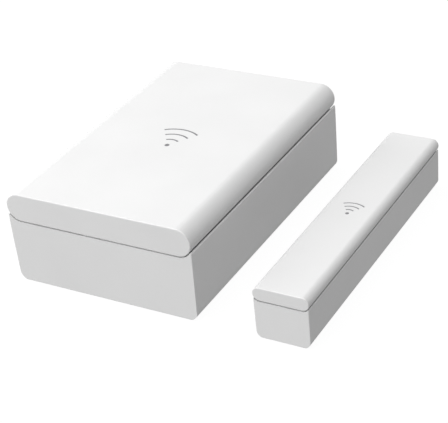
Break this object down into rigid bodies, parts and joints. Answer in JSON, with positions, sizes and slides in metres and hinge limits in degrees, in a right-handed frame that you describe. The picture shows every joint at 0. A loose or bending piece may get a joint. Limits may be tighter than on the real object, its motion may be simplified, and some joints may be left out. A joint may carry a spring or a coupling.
{
  "type": "door contact sensor",
  "caption": "Flat box-shaped wireless door sensor with a rounded slab lid, and a slim matching magnet bar that stands beside it across the door gap.",
  "frame": {"origin": "centre of the sensor case's back face, where it is stuck or screwed to the door frame", "axes": "+Z out of the mounting surface towards the lids; +Y along the door edge, the long side of both cases; +X from the sensor case to the magnet bar, across the door gap"},
  "size_m": [0.0626, 0.06, 0.0193],
  "materials": {
    "case_white": "satin moulded ABS with a very fine spark texture",
    "lid_white": "satin moulded ABS, a little smoother than the base",
    "board_green": "solder mask over glass-epoxy laminate",
    "module_blue": "solder mask over glass-epoxy laminate",
    "steel": "zinc-plated steel",
    "nickel": "nickel-plated spring steel",
    "tinned_can": "drawn tinned steel",
    "aluminium_can": "drawn aluminium",
    "gold_wire": "gold-plated wire",
    "sleeve_grey": "shrunk plastic sleeve",
    "clear_glass": "clear glass with a faint green tint",
    "black_plastic": "moulded epoxy or nylon",
    "ceramic_tan": "fired ceramic with tinned ends",
    "led_white": "diffusing resin",
    "plunger_white": "moulded acetal",
    "button_red": "moulded acetal",
    "magnet_grey": "sintered magnet with a nickel skin",
    "foam_grey": "closed-cell adhesive foam",
    "symbol_grey": "grey ink in the lids' engraved symbols",
    "legend_white": "white ink outlines on the circuit board",
    "solder": "tin solder"
  },
  "bodies": {
    "sensor_body": {"sensor_base": "case_white", "main_board": "board_green", "board_screws": "steel", "battery_cell": "sleeve_grey", "battery_cap": "nickel", "battery_contact_positive": "nickel", "battery_contact_negative": "nickel", "reed_glass": "clear_glass", "reed_leads": "nickel", "radio_board": "module_blue", "radio_shield": "tinned_can", "microcontroller": "black_plastic", "antenna_coil": "gold_wire", "crystal_can": "tinned_can", "reservoir_capacitor": "aluminium_can", "chip_capacitors": "ceramic_tan", "chip_resistors": "black_plastic", "status_led": "led_white", "tamper_switch": "black_plastic", "pairing_switch": "black_plastic", "sensor_pad": "foam_grey"},
    "sensor_cover": {"sensor_lid": "lid_white"},
    "tamper_key": {"tamper_plunger": "plunger_white"},
    "pairing_key": {"pairing_button": "button_red"},
    "magnet_unit": {"magnet_base": "case_white", "bar_magnet": "magnet_grey", "magnet_pad": "foam_grey"},
    "magnet_cover": {"magnet_lid": "lid_white"}
  },
  "joints": [
    {"name": "sensor_lid_lift", "type": "slide", "parent": "sensor_body", "child": "sensor_cover", "axis": [0, 0, 1], "range_m": [0, 0.02]},
    {"name": "magnet_travel", "type": "slide", "parent": "sensor_body", "child": "magnet_unit", "axis": [1, 0, 0], "range_m": [-0.01, 0.04]},
    {"name": "magnet_lid_lift", "type": "slide", "parent": "magnet_unit", "child": "magnet_cover", "axis": [0, 0, 1], "range_m": [0, 0.012]},
    {"name": "tamper_press", "type": "slide", "parent": "sensor_body", "child": "tamper_key", "axis": [0, 0, -1], "range_m": [0, 0.0004], "stiffness_N_per_m": 300},
    {"name": "pairing_press", "type": "slide", "parent": "sensor_body", "child": "pairing_key", "axis": [0, 0, -1], "range_m": [0, 0.00025], "stiffness_N_per_m": 600}
  ]
}
